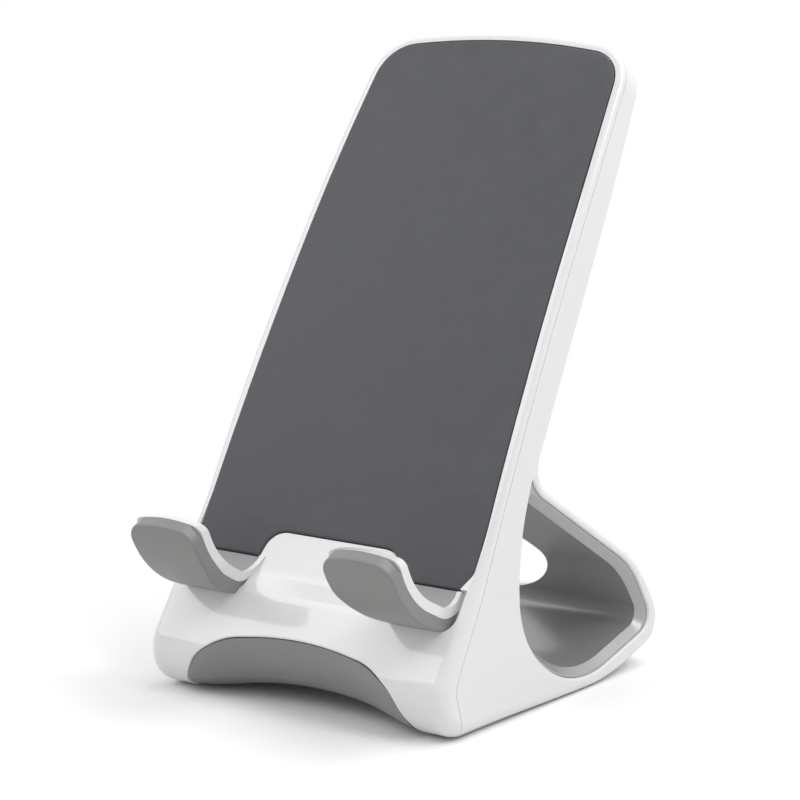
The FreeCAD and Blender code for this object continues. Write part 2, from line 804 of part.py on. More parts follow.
def front_shell(form, space):
    """White front moulding: bezel, tongue, chin and the tops of the hooks."""
    plate_back = plate_depth - bezel_drop - parting_depth
    inside = side_block(wall + shell_clearance)
    above_foot = square_to_rest([(-far, plate_foot, 0), (far, plate_foot, 0), (far, far, 0), (-far, far, 0)])
    plate = front_zone(plate_back).common(inside).common(above_foot).common(form)
    shell = form.common(front_zone(0.0)).cut(space.cut(front_zone(0.0).common(above_foot)))
    shell = shell.fuse(plate)
    for side in (-1, 1):
        ribbon = hook_band(side, hook_line(hook_skin) + hook_line(0.0)[::-1])
        shell = shell.fuse(ribbon.cut(hook_pad(side, hook_pad_gap)))
    shell = shell.cut(pad_block(-spare, pad_thickness + tape_thickness, pad_gap))
    for point, inwards in screws():
        seat = pad_thickness + tape_thickness
        shell = shell.cut(cylinder(point, inwards, screw_hole_radius, slab_depth))
        shell = shell.cut(cylinder(point, inwards, screw_head_radius + boss_gap, seat + screw_seat))
    return shell.removeSplitter()


def rear_shell(form, space):
    """White rear moulding: slab back, sides, base, tail and strut."""
    behind = front_zone(plate_depth - bezel_drop - parting_depth + shell_clearance)
    inside = side_block(wall)
    floor = Part.makeBox(2 * far, 2 * far, far, Vector(-far, -far, foot_proud + wall))
    room = behind.common(inside).common(floor)
    shell = form.cut(front_zone(parting_gap)).cut(space).cut(room)
    bosses = None
    for point, inwards in screws():
        boss = cylinder(point + inwards * (plate_depth + boss_gap), inwards, boss_radius, slab_depth)
        bosses = boss if bosses is None else bosses.fuse(boss)
    shell = shell.fuse(bosses.common(form))
    for point, inwards in screws():
        deep = pad_thickness + tape_thickness + screw_seat + screw_length + 2 * boss_gap
        shell = shell.cut(cylinder(point, inwards, screw_core_radius + screw_gap, deep))
    shell = shell.cut(cable_hole())
    for name, place in feet():
        shell = shell.cut(cylinder(place, Vector(0, 0, 1), foot_radius + foot_gap, foot_proud + foot_recess))
    return shell.removeSplitter()


def cable_hole():
    """Oval hole carried straight back through the liner and the strut."""
    start = Vector(0, cable_hole_start, cable_hole_height)
    high, wide = cable_hole_half_height, cable_hole_half_width
    oval = Part.Ellipse(start + Vector(wide, 0, 0), start + Vector(0, 0, high), start)
    return Part.Face(Part.Wire(oval.toShape())).extrude(Vector(0, far, 0))


def side_wire(corners, side, depth):
    """Wire of a (Y, Z) outline laid at a depth under one of the leaning side faces."""
    def place(y, z):
        v = (y - rest_foot[0]) * mean_up[0] + (z - rest_foot[1]) * mean_up[1]
        return Vector(side * (side_line(v) + bezel_width - depth), y, z)
    return rounded_wire(corners, place)


def liner(side):
    """One half of the grey tunnel liner."""
    left, right = (0.0, far) if side > 0 else (-far, 0.0)
    tube = across(inset(opening_corners(True), liner_gap), left, right).common(side_block(liner_inset))
    bore = opening_corners(False)
    tube = tube.cut(across(inset(bore, liner_gap + liner_wall)))
    deep = inset(bore, liner_gap + liner_wall + mouth_spare)
    wide = inset(bore, liner_gap + liner_wall - mouth_bevel - mouth_spare)
    flare = Part.makeLoft([side_wire(deep, side, liner_inset + mouth_bevel + mouth_spare),
                           side_wire(wide, side, liner_inset - mouth_spare)], True, True)
    return tube.cut(flare).cut(cable_hole())


def roll(x, start, end):
    """Quarter turn at x from facing ahead at its start to facing down at its end."""
    drop, run = start[1] - end[1], end[0] - start[0]
    poles = [(start[0], start[1]), (start[0], start[1] - drop * quarter_pull),
             (end[0] - run * quarter_pull, end[1]), (end[0], end[1])]
    curve = Part.BezierCurve()
    curve.setPoles([Vector(x, y, z) for y, z in poles])
    return curve.toShape()


def front_at(height):
    """How far ahead the chin reaches at a height."""
    wire = rounded_wire(body_corners(False), lambda y, z: Vector(0, y, z))
    level = Part.makeLine(Vector(0, -far, height), Vector(0, far, height))
    return min(corner.Y for corner in level.common(Part.Face(wire)).Vertexes)


def belly_panel():
    """Grey panel that rolls from the arch down to the underside."""
    sections = []
    for index in range(-belly_half_sections, belly_half_sections + 1):
        x = belly_end_half * index / belly_half_sections
        share = abs(x) / arch_foot_half
        low = foot_proud + belly_clearance_foot
        low += belly_clearance_crown * max(0.0, 1 - (x / belly_clearance_reach) ** 2)
        top = arch_crown_height * (1 - share ** arch_width_power) ** (1 / arch_height_power)
        front = front_at(top) + belly_setback
        outer = [(front, belly_above), (front, top), (belly_roll_back, low), (belly_back, low)]
        inner = [(y + belly_wall, z + belly_wall) for y, z in outer[:3]] + [(belly_back, low + belly_wall)]
        line = lambda start, end: Part.makeLine(Vector(x, *start), Vector(x, *end))
        sections.append(Part.Wire([line(outer[0], outer[1]), roll(x, outer[1], outer[2]),
                                   line(outer[2], outer[3]), line(outer[3], inner[3]),
                                   line(inner[3], inner[2]), roll(x, inner[1], inner[2]),
                                   line(inner[1], inner[0]), line(inner[0], outer[0])]))
    panel = Part.makeLoft(sections, True, False)
    return panel.common(through_y(arch_corners(belly_gap), -far, belly_back))


def shell_screws():
    """The self-tapping screws under the pad, as one group."""
    solids = []
    for point, inwards in screws():
        seat = point + inwards * (pad_thickness + tape_thickness + screw_seat)
        head = cylinder(seat, inwards * -1, screw_head_radius, screw_head_height)
        slot = cylinder(seat - inwards * screw_head_height, inwards, screw_socket_radius, screw_socket_depth)
        solids.append(head.fuse(cylinder(seat, inwards, screw_core_radius, screw_length)).cut(slot))
    return Part.Compound(solids)


def pieces():
    """Every piece of the holder by its name."""
    form = outer_form()
    space = cavity()
    made = {"front_shell": front_shell(form, space),
            "rear_shell": rear_shell(form, space),
            "backrest_pad": backrest_pad(),
            "pad_adhesive": pad_block(pad_thickness, pad_thickness + tape_thickness, -tape_margin),
            "belly_panel": belly_panel(),
            "shell_screws": shell_screws()}
    for side, name in ((-1, "left"), (1, "right")):
        made["hook_cover_" + name] = hook_cover(side, form)
        made["hook_pad_" + name] = hook_pad(side, 0.0)
        made["liner_" + name] = liner(side)
    for name, place in feet():
        made[name] = cylinder(place, Vector(0, 0, 1), foot_radius, foot_proud + foot_recess)
    return made


def main():
    os.makedirs("parts", exist_ok=True)
    made = pieces()
    box = FreeCAD.BoundBox()
    for shape in made.values():
        box.add(shape.optimalBoundingBox())
    for name, shape in made.items():
        shape.translate(Vector(-box.Center.x, -box.Center.y, -box.ZMin))
        shape.exportStep("parts/" + name + ".step")
        print(name, shape.isValid(), len(shape.Solids), round(shape.Volume, 1))
    print(box)


if __name__ == "__main__":
    main()
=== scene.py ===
import math

import bmesh
import bpy
from bpy.props import FloatProperty, FloatVectorProperty, PointerProperty
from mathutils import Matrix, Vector


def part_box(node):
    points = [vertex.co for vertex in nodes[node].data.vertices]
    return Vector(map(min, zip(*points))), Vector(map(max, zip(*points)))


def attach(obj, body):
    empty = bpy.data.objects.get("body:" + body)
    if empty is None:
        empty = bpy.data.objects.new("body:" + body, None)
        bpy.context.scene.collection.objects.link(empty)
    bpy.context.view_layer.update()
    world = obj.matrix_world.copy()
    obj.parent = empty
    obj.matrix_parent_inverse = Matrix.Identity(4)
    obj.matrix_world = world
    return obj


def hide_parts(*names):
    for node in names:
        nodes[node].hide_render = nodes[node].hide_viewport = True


bl_info = {
    "name": "Desk Phone Holder",
    "version": (1, 0, 0),
    "blender": (4, 5, 0),
    "location": "View3D > Sidebar > Phone Holder",
    "description": "Dresses the packed desk phone holder with its plastics, pad and studio",
    "category": "Object",
}

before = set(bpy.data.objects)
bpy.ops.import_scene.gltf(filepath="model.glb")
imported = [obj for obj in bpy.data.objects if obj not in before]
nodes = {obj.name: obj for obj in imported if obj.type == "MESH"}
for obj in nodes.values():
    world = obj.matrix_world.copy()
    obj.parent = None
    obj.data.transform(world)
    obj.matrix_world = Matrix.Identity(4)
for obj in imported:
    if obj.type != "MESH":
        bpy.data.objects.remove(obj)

MILLIMETRE = 0.001
WHITE = (1.0, 1.0, 1.0, 1.0)

SHELL_NODES = ("front_shell", "rear_shell")
COVER_NODES = ("hook_cover_left", "hook_cover_right")
# Grey pads in the hooks are painted shade and reflection: grey sheets on the white floor of each hook,
# where that floor is only shaded and mirrors the dark pad
HOOK_SHADE_PAD_NODES = ("hook_pad_left", "hook_pad_right")
LINER_NODES = ("liner_left", "liner_right")
FOOT_NODES = ("foot_front_left", "foot_front_right", "foot_rear_left", "foot_rear_right")

# Shape of the pad in millimetres and degrees, as in the part but for the height of the side's
# bend, which is rounded. Its outline is drawn square to the mean lean of the rest, x across and v
# up from the rest's foot, and its line is straight at the foot and then gently convex.
REST_FOOT_HEIGHT = 28.7
REST_STRAIGHT = 14.0
REST_CURVE_LENGTH = 108.0
REST_LEAN_LOW = 27.6
REST_LEAN_HIGH = 35.75
REST_LEAN_MEAN = 31.7
HALF_WIDTH_FOOT = 35.5
SIDE_TAPER = 0.0369
SIDE_BEND_HEIGHT = 92.0
SIDE_BEND_RADIUS = 850.0
SIDE_TAPER_TOP = 0.072
TOP_CROWN_RADIUS = 161.0
TOP_CROWN_HALF = 23.0
CORNER_RADIUS = 8.5
FOOT_HALF_WIDTH = 33.3
FOOT_CORNER_RADIUS = 0.6
FOOT_CORNER_RISE = 3.5
FOOT_BLEND_RADIUS = 3.0
TONGUE_HEIGHT = 6.0
TONGUE_HALF_WIDTH = 18.3
TONGUE_FLARE = 16.0
TONGUE_RADIUS = 5.5
PAD_THICKNESS = 1.3
PAD_EDGE_RADIUS = 0.5

# How finely the pad's mesh follows its shape: lengths in millimetres, angles in degrees
PAD_ROW = 3.0
PAD_EDGE_STEPS = 5
ARC_STEP = 5.0
SHARP_ANGLE = 40.0
WELD_DISTANCE = 0.00001

# Noise that every skin shares, and the value round which a noise swings
GRAIN_NOISE = {"Detail": 3.0, "Roughness": 0.6}
MOTTLE_NOISE = {"Detail": 4.0, "Roughness": 0.55}
NOISE_MIDDLE = 0.5
COAT_ROUGHNESS = 0.08

# Studio in metres: each lamp has its place, the point that it faces and its width
FLOOR_REACH = 4.0
TOP_LAMP = ((0.20, 0.30, 0.85), (0.0, 0.0, 0.05), 0.70)
FRONT_LAMP = ((-0.60, -0.40, 0.55), (0.0, 0.0, 0.05), 0.50)
SIDE_LAMP = ((0.52, 0.00, 0.62), (0.0, 0.02, 0.03), 0.30)

# Camera: its place in metres, its turns in degrees, its lens and sensor in millimetres
CAMERA_PLACE = (0.353052, -0.476226, 0.166054)
CAMERA_TURNS = (79.8712, 0.0, 36.4346)
CAMERA_LENS = 129.95
CAMERA_SENSOR = 36.0


# Settings that a user would change

def colour(name, description, default):
    """Setting that is a colour."""
    return FloatVectorProperty(name=name, description=description, default=default, size=3,
                               min=0.0, max=1.0, subtype="COLOR")


def share(name, description, default):
    """Setting between nothing and all."""
    return FloatProperty(name=name, description=description, default=default,
                         min=0.0, max=1.0, subtype="FACTOR")


def length(name, description, default):
    """Setting that is a length in metres."""
    return FloatProperty(name=name, description=description, default=default,
                         min=0.0, unit="LENGTH", precision=5)


def power(name, description, default):
    """Setting that is a lamp's power in watts."""
    return FloatProperty(name=name, description=description, default=default,
                         min=0.0, unit="POWER")


class HolderPlastics(bpy.types.PropertyGroup):
    """Colours and gloss of the moulded plastics."""

    white: colour("White Plastic", "Colour of the two glossy shells", (0.80, 0.80, 0.805))
    white_roughness: share("White Roughness", "Roughness of the glossy shells", 0.09)
    cover_grey: colour("Hook Grey", "Colour of the covers under the hooks", (0.235, 0.235, 0.23))
    cover_roughness: share("Hook Roughness", "Roughness of the hook covers", 0.40)
    belly_grey: colour("Belly Grey", "Colour of the belly panel", (0.245, 0.245, 0.242))
    liner_grey: colour("Liner Grey", "Colour of the silky tunnel liner", (0.41, 0.41, 0.407))
    liner_roughness: share("Liner Roughness", "Roughness of the liner and the belly panel", 0.34)
    # Grey of the pads in the hooks is painted shade and reflection that darkens the white floor of each
    # hook
    hook_pad_grey: colour("Hook Pad Painted Shade", "Colour of the soft pads in the hooks", (0.33, 0.33, 0.33))
    rubber_grey: colour("Foot Rubber", "Colour of the four rubber feet", (0.05, 0.05, 0.052))
    steel: colour("Steel", "Colour of the screws", (0.55, 0.55, 0.56))
    adhesive: colour("Adhesive", "Colour of the sheet that bonds the pad", (0.75, 0.75, 0.72))


class HolderPad(bpy.types.PropertyGroup):
    """Looks of the soft pad on the rest."""

    grey: colour("Pad Grey", "Colour of the soft pad", (0.0718, 0.0740, 0.0829))
    roughness: share("Pad Roughness", "Roughness of the soft pad", 0.62)
    grain: length("Grain Size", "Width of one grain of the pad's skin", 0.00035)


class HolderStudio(bpy.types.PropertyGroup):
    """Floor and light of the studio."""

    floor: colour("Floor", "Colour with which the floor lights the holder", (0.80, 0.80, 0.80))
    white_from: length("White From", "Distance from the middle where the floor starts to whiten", 0.06)
    white_at: length("White At", "Distance from the middle where the floor is plain white", 0.13)
    daylight: FloatProperty(name="Soft Light", description="Strength of the light from all around",
                            default=0.60, min=0.0)
    top: power("Top Light", "Power of the large lamp above and behind", 3.15)
    front: power("Front Light", "Power of the lamp ahead on the left", 1.6)
    side: power("Side Light", "Power of the lamp that shines into the tunnel", 1.4)


# Shape helpers

def unit(start, end):
    """Unit direction from one point to another."""
    reach = math.dist(start[:2], end[:2])
    return (end[0] - start[0]) / reach, (end[1] - start[1]) / reach


def crossing(point_a, along_a, point_b, along_b):
    """Where two lines cross."""
    cross = along_a[0] * along_b[1] - along_a[1] * along_b[0]
    distance = ((point_b[0] - point_a[0]) * along_b[1] - (point_b[1] - point_a[1]) * along_b[0]) / cross
    return point_a[0] + along_a[0] * distance, point_a[1] + along_a[1] * distance


def rounded(corners):
    """Points along an outline whose (a, b, radius) corners are rounded to arcs."""
    points = []
    for index, here in enumerate(corners):
        if here[2] <= 0:
            points.append(here[:2])
            continue
        after = corners[(index + 1) % len(corners)]
        incoming, outgoing = unit(corners[index - 1], here), unit(here, after)
        turn = math.atan2(incoming[0] * outgoing[1] - incoming[1] * outgoing[0],
                          incoming[0] * outgoing[0] + incoming[1] * outgoing[1])
        tangent = here[2] * math.tan(abs(turn) / 2)
        side = math.copysign(here[2], turn)
        start = here[0] - incoming[0] * tangent, here[1] - incoming[1] * tangent
        centre = start[0] - incoming[1] * side, start[1] + incoming[0] * side
        arm_x, arm_y = start[0] - centre[0], start[1] - centre[1]
        steps = max(1, math.ceil(abs(math.degrees(turn)) / ARC_STEP))
        for step in range(steps + 1):
            angle = turn * step / steps
            points.append((centre[0] + arm_x * math.cos(angle) - arm_y * math.sin(angle),
                           centre[1] + arm_x * math.sin(angle) + arm_y * math.cos(angle)))
    return points


def rest_curve():
    """Radius of the rest's convex line, and its centre along and behind the mean plane."""
    radius = REST_CURVE_LENGTH / math.radians(REST_LEAN_HIGH - REST_LEAN_LOW)
    ahead = math.radians(REST_LEAN_MEAN - REST_LEAN_LOW)
    along = REST_STRAIGHT * math.cos(ahead) + radius * math.sin(ahead)
    behind = radius * math.cos(ahead) - REST_STRAIGHT * math.sin(ahead)
    return radius, along, behind


def rest_depth(v):
    """How far the pad's surface lies behind the mean plane at v up the rest."""
    radius, along, behind = rest_curve()
    ahead = math.radians(REST_LEAN_MEAN - REST_LEAN_LOW)
    if v < REST_STRAIGHT * math.cos(ahead):
        return -v * math.tan(ahead)
    return behind - math.sqrt(radius ** 2 - (v - along) ** 2)


def side_line(v):
    """Half width of the pad at v up the rest."""
    return HALF_WIDTH_FOOT - SIDE_TAPER * v


def pad_outline():
    """Corners of the pad with the notch for the tongue in its lower edge."""
    radius, along, _ = rest_curve()
    slope = math.tan(math.asin(TOP_CROWN_HALF / TOP_CROWN_RADIUS))
    top = along + radius * math.sin(math.radians(REST_LEAN_HIGH - REST_LEAN_MEAN))
    apex = top + TOP_CROWN_RADIUS * (math.sqrt(1 + slope ** 2) - 1)
    bend = (side_line(SIDE_BEND_HEIGHT), SIDE_BEND_HEIGHT)
    corner = crossing(bend, (-SIDE_TAPER_TOP, 1.0), (0.0, apex), (1.0, -slope))
    notch = TONGUE_HALF_WIDTH - math.tan(math.radians(TONGUE_FLARE)) * TONGUE_HEIGHT
    right = [(notch, TONGUE_HEIGHT, TONGUE_RADIUS), (TONGUE_HALF_WIDTH, 0.0, 0.0),
             (FOOT_HALF_WIDTH, 0.0, FOOT_CORNER_RADIUS),
             (side_line(FOOT_CORNER_RISE), FOOT_CORNER_RISE, FOOT_BLEND_RADIUS),
             (*bend, SIDE_BEND_RADIUS), (*corner, CORNER_RADIUS)]
    left = [(-x, v, rounding) for x, v, rounding in right[::-1]]
    return right + [(0.0, apex, TOP_CROWN_RADIUS)] + left


# Node helpers

def new_group(name, inputs, outputs):
    """Shader node group with its named sockets."""
    group = bpy.data.node_groups.new(name, "ShaderNodeTree")
    for title, kind in inputs:
        group.interface.new_socket(title, in_out="INPUT", socket_type=kind)
    for title, kind in outputs:
        group.interface.new_socket(title, in_out="OUTPUT", socket_type=kind)
    return group


def add(tree, kind, **values):
    """Node with its settings and the values of its named inputs."""
    node = tree.nodes.new(kind)
    for key, value in values.items():
        if key in node.inputs:
            node.inputs[key].default_value = value
        else:
            setattr(node, key, value)
    return node


def join(tree, start, end):
    """Link from an output to an input."""
    tree.links.new(start, end)


def sees_studio(tree):
    """Mask of the rays that see the white studio: the camera's, and those of gloss and glass."""
    ray = add(tree, "ShaderNodeLightPath")
    mirrored = add(tree, "ShaderNodeMath", operation="MAXIMUM")
    join(tree, ray.outputs["Is Camera Ray"], mirrored.inputs[0])
    join(tree, ray.outputs["Is Glossy Ray"], mirrored.inputs[1])
    seen = add(tree, "ShaderNodeMath", operation="MAXIMUM")
    join(tree, mirrored.outputs[0], seen.inputs[0])
    join(tree, ray.outputs["Is Transmission Ray"], seen.inputs[1])
    return seen.outputs[0]


def moulded_skin():
    """Fine grain, slow mottle and uneven gloss of a moulded surface."""
    name = "Moulded Skin"
    if name in bpy.data.node_groups:
        return bpy.data.node_groups[name]
    group = new_group(
        name,
        [("Colour", "NodeSocketColor"), ("Grain Scale", "NodeSocketFloat"),
         ("Mottle Scale", "NodeSocketFloat"), ("Mottle", "NodeSocketFloat"),
         ("Roughness", "NodeSocketFloat"), ("Uneven Gloss", "NodeSocketFloat")],
        [("Colour", "NodeSocketColor"), ("Roughness", "NodeSocketFloat"), ("Height", "NodeSocketFloat")])
    start = add(group, "NodeGroupInput")
    end = add(group, "NodeGroupOutput")
    place = add(group, "ShaderNodeTexCoord")
    grain = add(group, "ShaderNodeTexNoise", **GRAIN_NOISE)
    mottle = add(group, "ShaderNodeTexNoise", **MOTTLE_NOISE)
    for texture, scale in ((grain, "Grain Scale"), (mottle, "Mottle Scale")):
        join(group, place.outputs["Object"], texture.inputs["Vector"])
        join(group, start.outputs[scale], texture.inputs["Scale"])
    swing = add(group, "ShaderNodeMath", operation="SUBTRACT")
    join(group, mottle.outputs["Fac"], swing.inputs[0])
    swing.inputs[1].default_value = NOISE_MIDDLE
    tone = add(group, "ShaderNodeMath", operation="MULTIPLY_ADD")
    join(group, swing.outputs[0], tone.inputs[0])
    join(group, start.outputs["Mottle"], tone.inputs[1])
    tone.inputs[2].default_value = 1.0
    shaded = add(group, "ShaderNodeVectorMath", operation="SCALE")
    join(group, start.outputs["Colour"], shaded.inputs[0])
    join(group, tone.outputs[0], shaded.inputs["Scale"])
    join(group, shaded.outputs[0], end.inputs["Colour"])
    gloss = add(group, "ShaderNodeMath", operation="MULTIPLY_ADD", use_clamp=True)
    join(group, swing.outputs[0], gloss.inputs[0])
    join(group, start.outputs["Uneven Gloss"], gloss.inputs[1])
    join(group, start.outputs["Roughness"], gloss.inputs[2])
    join(group, gloss.outputs[0], end.inputs["Roughness"])
    join(group, grain.outputs["Fac"], end.inputs["Height"])
    return group


def surface(name, rgb, roughness, grain, mottle, depth, shade_swing, gloss_swing,
            metallic=0.0, coat=0.0):
    """Material with a fine skin: the widths of its grain and mottle and the depth of its grain
    are in metres, and the swings say how far its shade and its roughness follow the mottle."""
    material = bpy.data.materials.new(name)
    material.use_nodes = True
    tree = material.node_tree
    tree.nodes.clear()
    out = add(tree, "ShaderNodeOutputMaterial")
    shader = add(tree, "ShaderNodeBsdfPrincipled")
    shader.inputs["Metallic"].default_value = metallic
    shader.inputs["Coat Weight"].default_value = coat
    shader.inputs["Coat Roughness"].default_value = COAT_ROUGHNESS
    skin = add(tree, "ShaderNodeGroup", node_tree=moulded_skin())
    skin.inputs["Colour"].default_value = (*rgb, 1.0)
    skin.inputs["Grain Scale"].default_value = 1.0 / grain
    skin.inputs["Mottle Scale"].default_value = 1.0 / mottle
    skin.inputs["Roughness"].default_value = roughness
    skin.inputs["Mottle"].default_value = shade_swing
    skin.inputs["Uneven Gloss"].default_value = gloss_swing
    relief = add(tree, "ShaderNodeBump")
    relief.inputs["Strength"].default_value = 1.0
    relief.inputs["Distance"].default_value = depth
    join(tree, skin.outputs["Colour"], shader.inputs["Base Color"])
    join(tree, skin.outputs["Roughness"], shader.inputs["Roughness"])
    join(tree, skin.outputs["Height"], relief.inputs["Height"])
    join(tree, relief.outputs["Normal"], shader.inputs["Normal"])
    join(tree, shader.outputs["BSDF"], out.inputs["Surface"])
    return material


def dress(names, material):
    """Gives CAD nodes a better material."""
    for name in names:
        slots = nodes[name].data.materials
        if len(slots) == 0:
            slots.append(material)
        for index in range(len(slots)):
            slots[index] = material


class HOLDER_OT_white_shells(bpy.types.Operator):
    """Gives the two shells their glossy white plastic"""

    bl_idname = "holder.white_shells"
    bl_label = "White Shells"

    def execute(self, context):
        looks = context.scene.holder_plastics
        dress(SHELL_NODES, surface("white_plastic", looks.white, looks.white_roughness,
                                   grain=0.0016, mottle=0.012, depth=0.000003,
                                   shade_swing=0.012, gloss_swing=0.05, coat=0.2))
        return {"FINISHED"}


class HOLDER_OT_hook_covers(bpy.types.Operator):
    """Gives the covers under the hooks their satin grey plastic"""

    bl_idname = "holder.hook_covers"
    bl_label = "Hook Covers"

    def execute(self, context):
        looks = context.scene.holder_plastics
        dress(COVER_NODES, surface("cover_plastic", looks.cover_grey, looks.cover_roughness,
                                   grain=0.0005, mottle=0.006, depth=0.000006,
                                   shade_swing=0.03, gloss_swing=0.06))
        return {"FINISHED"}


class HOLDER_OT_belly_panel(bpy.types.Operator):
    """Gives the panel under the arch its satin grey plastic"""

    bl_idname = "holder.belly_panel"
    bl_label = "Belly Panel"

    def execute(self, context):
        looks = context.scene.holder_plastics
        dress(("belly_panel",), surface("belly_plastic", looks.belly_grey, looks.liner_roughness,
                                        grain=0.0005, mottle=0.008, depth=0.000006,
                                        shade_swing=0.04, gloss_swing=0.06))
        return {"FINISHED"}


class HOLDER_OT_tunnel_liner(bpy.types.Operator):
    """Gives the lining of the tunnel its silvery grey plastic"""

    bl_idname = "holder.tunnel_liner"
    bl_label = "Tunnel Liner"

    def execute(self, context):
        looks = context.scene.holder_plastics
        dress(LINER_NODES, surface("liner_plastic", looks.liner_grey, looks.liner_roughness,
                                   grain=0.0005, mottle=0.008, depth=0.000006,
                                   shade_swing=0.04, gloss_swing=0.06, metallic=0.45))
        return {"FINISHED"}


class HOLDER_OT_hook_shade_pads(bpy.types.Operator):
    """Gives the grey pads in the hooks their matte grey skin, which is painted shade and reflection on
    the white floor of each hook
    """

    bl_idname = "holder.hook_pads"
    bl_label = "Hook Shade Pads"

    def execute(self, context):
        looks = context.scene.holder_plastics
        # Painted shade and reflection: grey sheets that darken the white floor of each hook
        dress(HOOK_SHADE_PAD_NODES, surface("hook_pad_painted_shade", looks.hook_pad_grey, roughness=0.6,
                                      grain=0.0004, mottle=0.003, depth=0.00001,
                                      shade_swing=0.08, gloss_swing=0.08))
        return {"FINISHED"}


class HOLDER_OT_backrest_pad(bpy.types.Operator):
    """Makes the soft dark pad of the rest, with its rounded edge and grained skin"""

    bl_idname = "holder.backrest_pad"
    bl_label = "Backrest Pad"

    def execute(self, context):
        mesh = bpy.data.meshes.new("soft_pad")
        shape = bmesh.new()
        self.slab(shape)
        self.bend(shape)
        bmesh.ops.recalc_face_normals(shape, faces=shape.faces[:])
        for face in shape.faces:
            face.smooth = True
        shape.to_mesh(mesh)
        shape.free()
        mesh.set_sharp_from_angle(angle=math.radians(SHARP_ANGLE))
        mesh.materials.append(self.skin(context.scene.holder_pad))
        pad = bpy.data.objects.new("soft_pad", mesh)
        context.scene.collection.objects.link(pad)
        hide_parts("backrest_pad")
        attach(pad, "root")
        return {"FINISHED"}

    def slab(self, shape):
        """Flat pad in (x, v, height): its back, its sides, and rings that round its front edge."""
        points = [shape.verts.new((x, v, 0.0)) for x, v in rounded(pad_outline())]
        face = shape.faces.new(points)
        raised = bmesh.ops.extrude_face_region(shape, geom=[face], use_keep_orig=True)["geom"]
        front = next(item for item in raised if isinstance(item, bmesh.types.BMFace))
        for vertex in front.verts:
            vertex.co.z = PAD_THICKNESS - PAD_EDGE_RADIUS
        inwards, upwards = 0.0, 0.0
        for step in range(1, PAD_EDGE_STEPS + 1):
            angle = math.radians(90.0 * step / PAD_EDGE_STEPS)
            inset = PAD_EDGE_RADIUS * (1 - math.cos(angle))
            lift = PAD_EDGE_RADIUS * math.sin(angle)
            bmesh.ops.inset_region(shape, faces=[front], thickness=inset - inwards,
                                   depth=lift - upwards, use_even_offset=True, use_boundary=True)
            inwards, upwards = inset, lift

    def bend(self, shape):
        """Rows across the pad, and its vertices laid on the convex line of the rest."""
        height = max(vertex.co.y for vertex in shape.verts)
        for row in range(1, math.ceil(height / PAD_ROW)):
            geometry = shape.verts[:] + shape.edges[:] + shape.faces[:]
            bmesh.ops.bisect_plane(shape, geom=geometry, dist=WELD_DISTANCE,
                                   plane_co=(0.0, row * PAD_ROW, 0.0), plane_no=(0.0, 1.0, 0.0))
        lean = math.radians(REST_LEAN_MEAN)
        for vertex in shape.verts:
            x, v, up = vertex.co
            behind = rest_depth(v) + PAD_THICKNESS - up
            y = v * math.sin(lean) + behind * math.cos(lean)
            z = REST_FOOT_HEIGHT + v * math.cos(lean) - behind * math.sin(lean)
            vertex.co = Vector((x, y, z)) * MILLIMETRE
        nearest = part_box("backrest_pad")[0][1]
        shift = nearest - min(vertex.co.y for vertex in shape.verts)
        for vertex in shape.verts:
            vertex.co.y += shift

    def skin(self, looks):
        """Matte dark grey rubber with a fine grain."""
        return surface("pad_skin", looks.grey, looks.roughness, looks.grain, mottle=0.006,
                       depth=0.00003, shade_swing=0.65, gloss_swing=0.25)


class HOLDER_OT_feet(bpy.types.Operator):
    """Gives the four feet their black rubber"""

    bl_idname = "holder.feet"
    bl_label = "Feet"

    def execute(self, context):
        looks = context.scene.holder_plastics
        dress(FOOT_NODES, surface("foot_rubber_skin", looks.rubber_grey, roughness=0.7,
                                  grain=0.0006, mottle=0.004, depth=0.00001,
                                  shade_swing=0.10, gloss_swing=0.05))
        return {"FINISHED"}


class HOLDER_OT_shell_screws(bpy.types.Operator):
    """Gives the screws under the pad their bright steel"""

    bl_idname = "holder.shell_screws"
    bl_label = "Shell Screws"

    def execute(self, context):
        looks = context.scene.holder_plastics
        dress(("shell_screws",), surface("screw_metal", looks.steel, roughness=0.35,
                                         grain=0.0003, mottle=0.002, depth=0.000002,
                                         shade_swing=0.05, gloss_swing=0.10, metallic=1.0))
        return {"FINISHED"}


class HOLDER_OT_pad_adhesive(bpy.types.Operator):
    """Gives the sheet that bonds the pad its pale finish"""

    bl_idname = "holder.pad_adhesive"
    bl_label = "Pad Adhesive"

    def execute(self, context):
        looks = context.scene.holder_plastics
        dress(("pad_adhesive",), surface("adhesive_sheet", looks.adhesive, roughness=0.5,
                                         grain=0.0008, mottle=0.006, depth=0.000005,
                                         shade_swing=0.05, gloss_swing=0.05))
        return {"FINISHED"}


